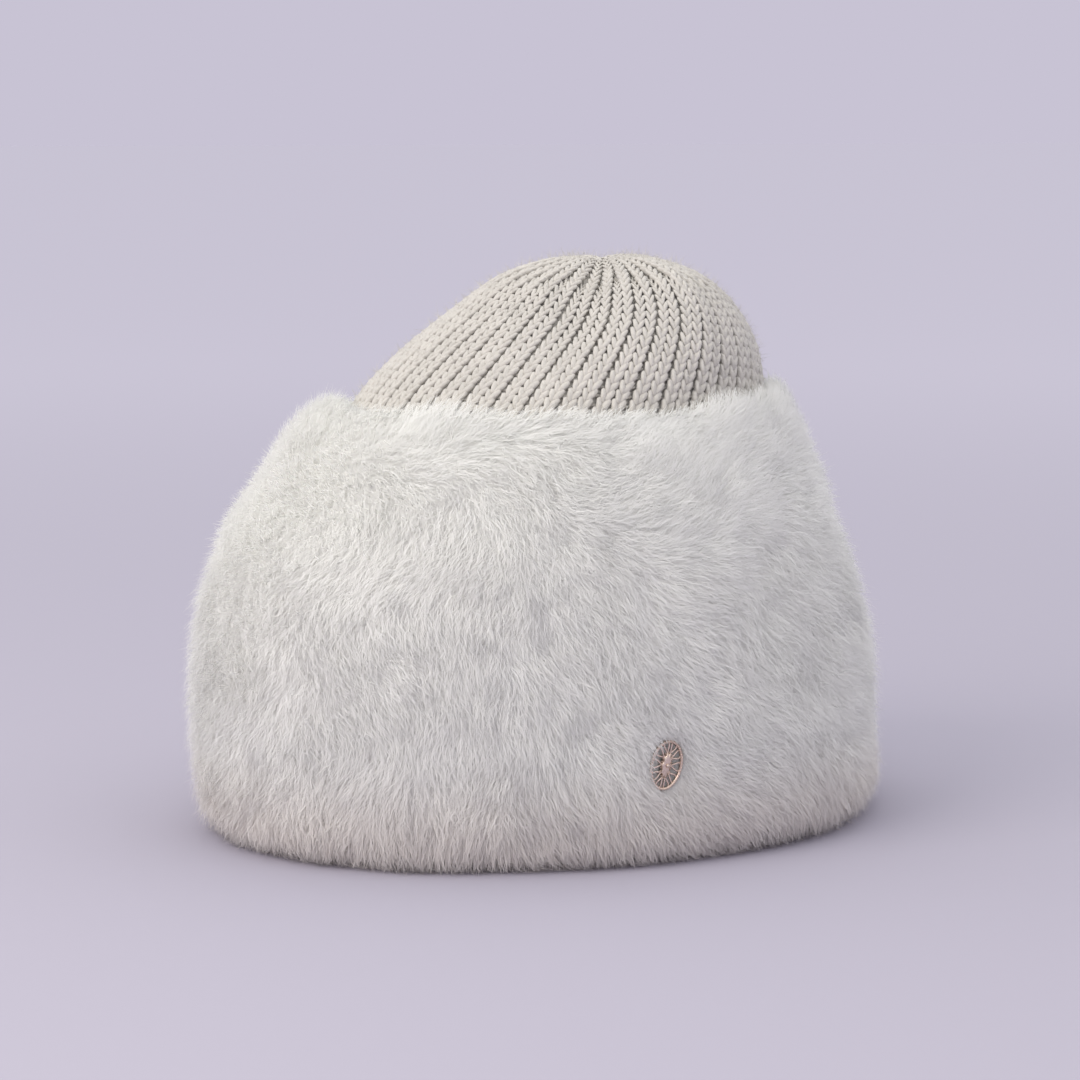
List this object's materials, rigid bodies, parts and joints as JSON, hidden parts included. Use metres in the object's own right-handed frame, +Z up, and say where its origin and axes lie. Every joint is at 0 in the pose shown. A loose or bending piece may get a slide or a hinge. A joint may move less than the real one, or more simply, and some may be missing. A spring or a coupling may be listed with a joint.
{
  "type": "beanie",
  "caption": "Knitted beanie with a deep, wide plush cuff, a gathered ribbed crown and a small openwork metal badge, standing on its rim.",
  "frame": {"origin": "on the surface that the rim stands on, under the middle of the cuff", "axes": "-Y is the way the wearer looks, +X is the wearer's left, +Z is up through the crown"},
  "size_m": [0.2061, 0.2541, 0.1961],
  "materials": {
    "plush": "deep brushed ivory pile",
    "knit": "matt oatmeal rib knit",
    "badge_metal": "polished rose gilt"
  },
  "bodies": {
    "root": {"fur_cuff": "plush", "knit_cap": "knit", "badge": "badge_metal"}
  },
  "joints": []
}
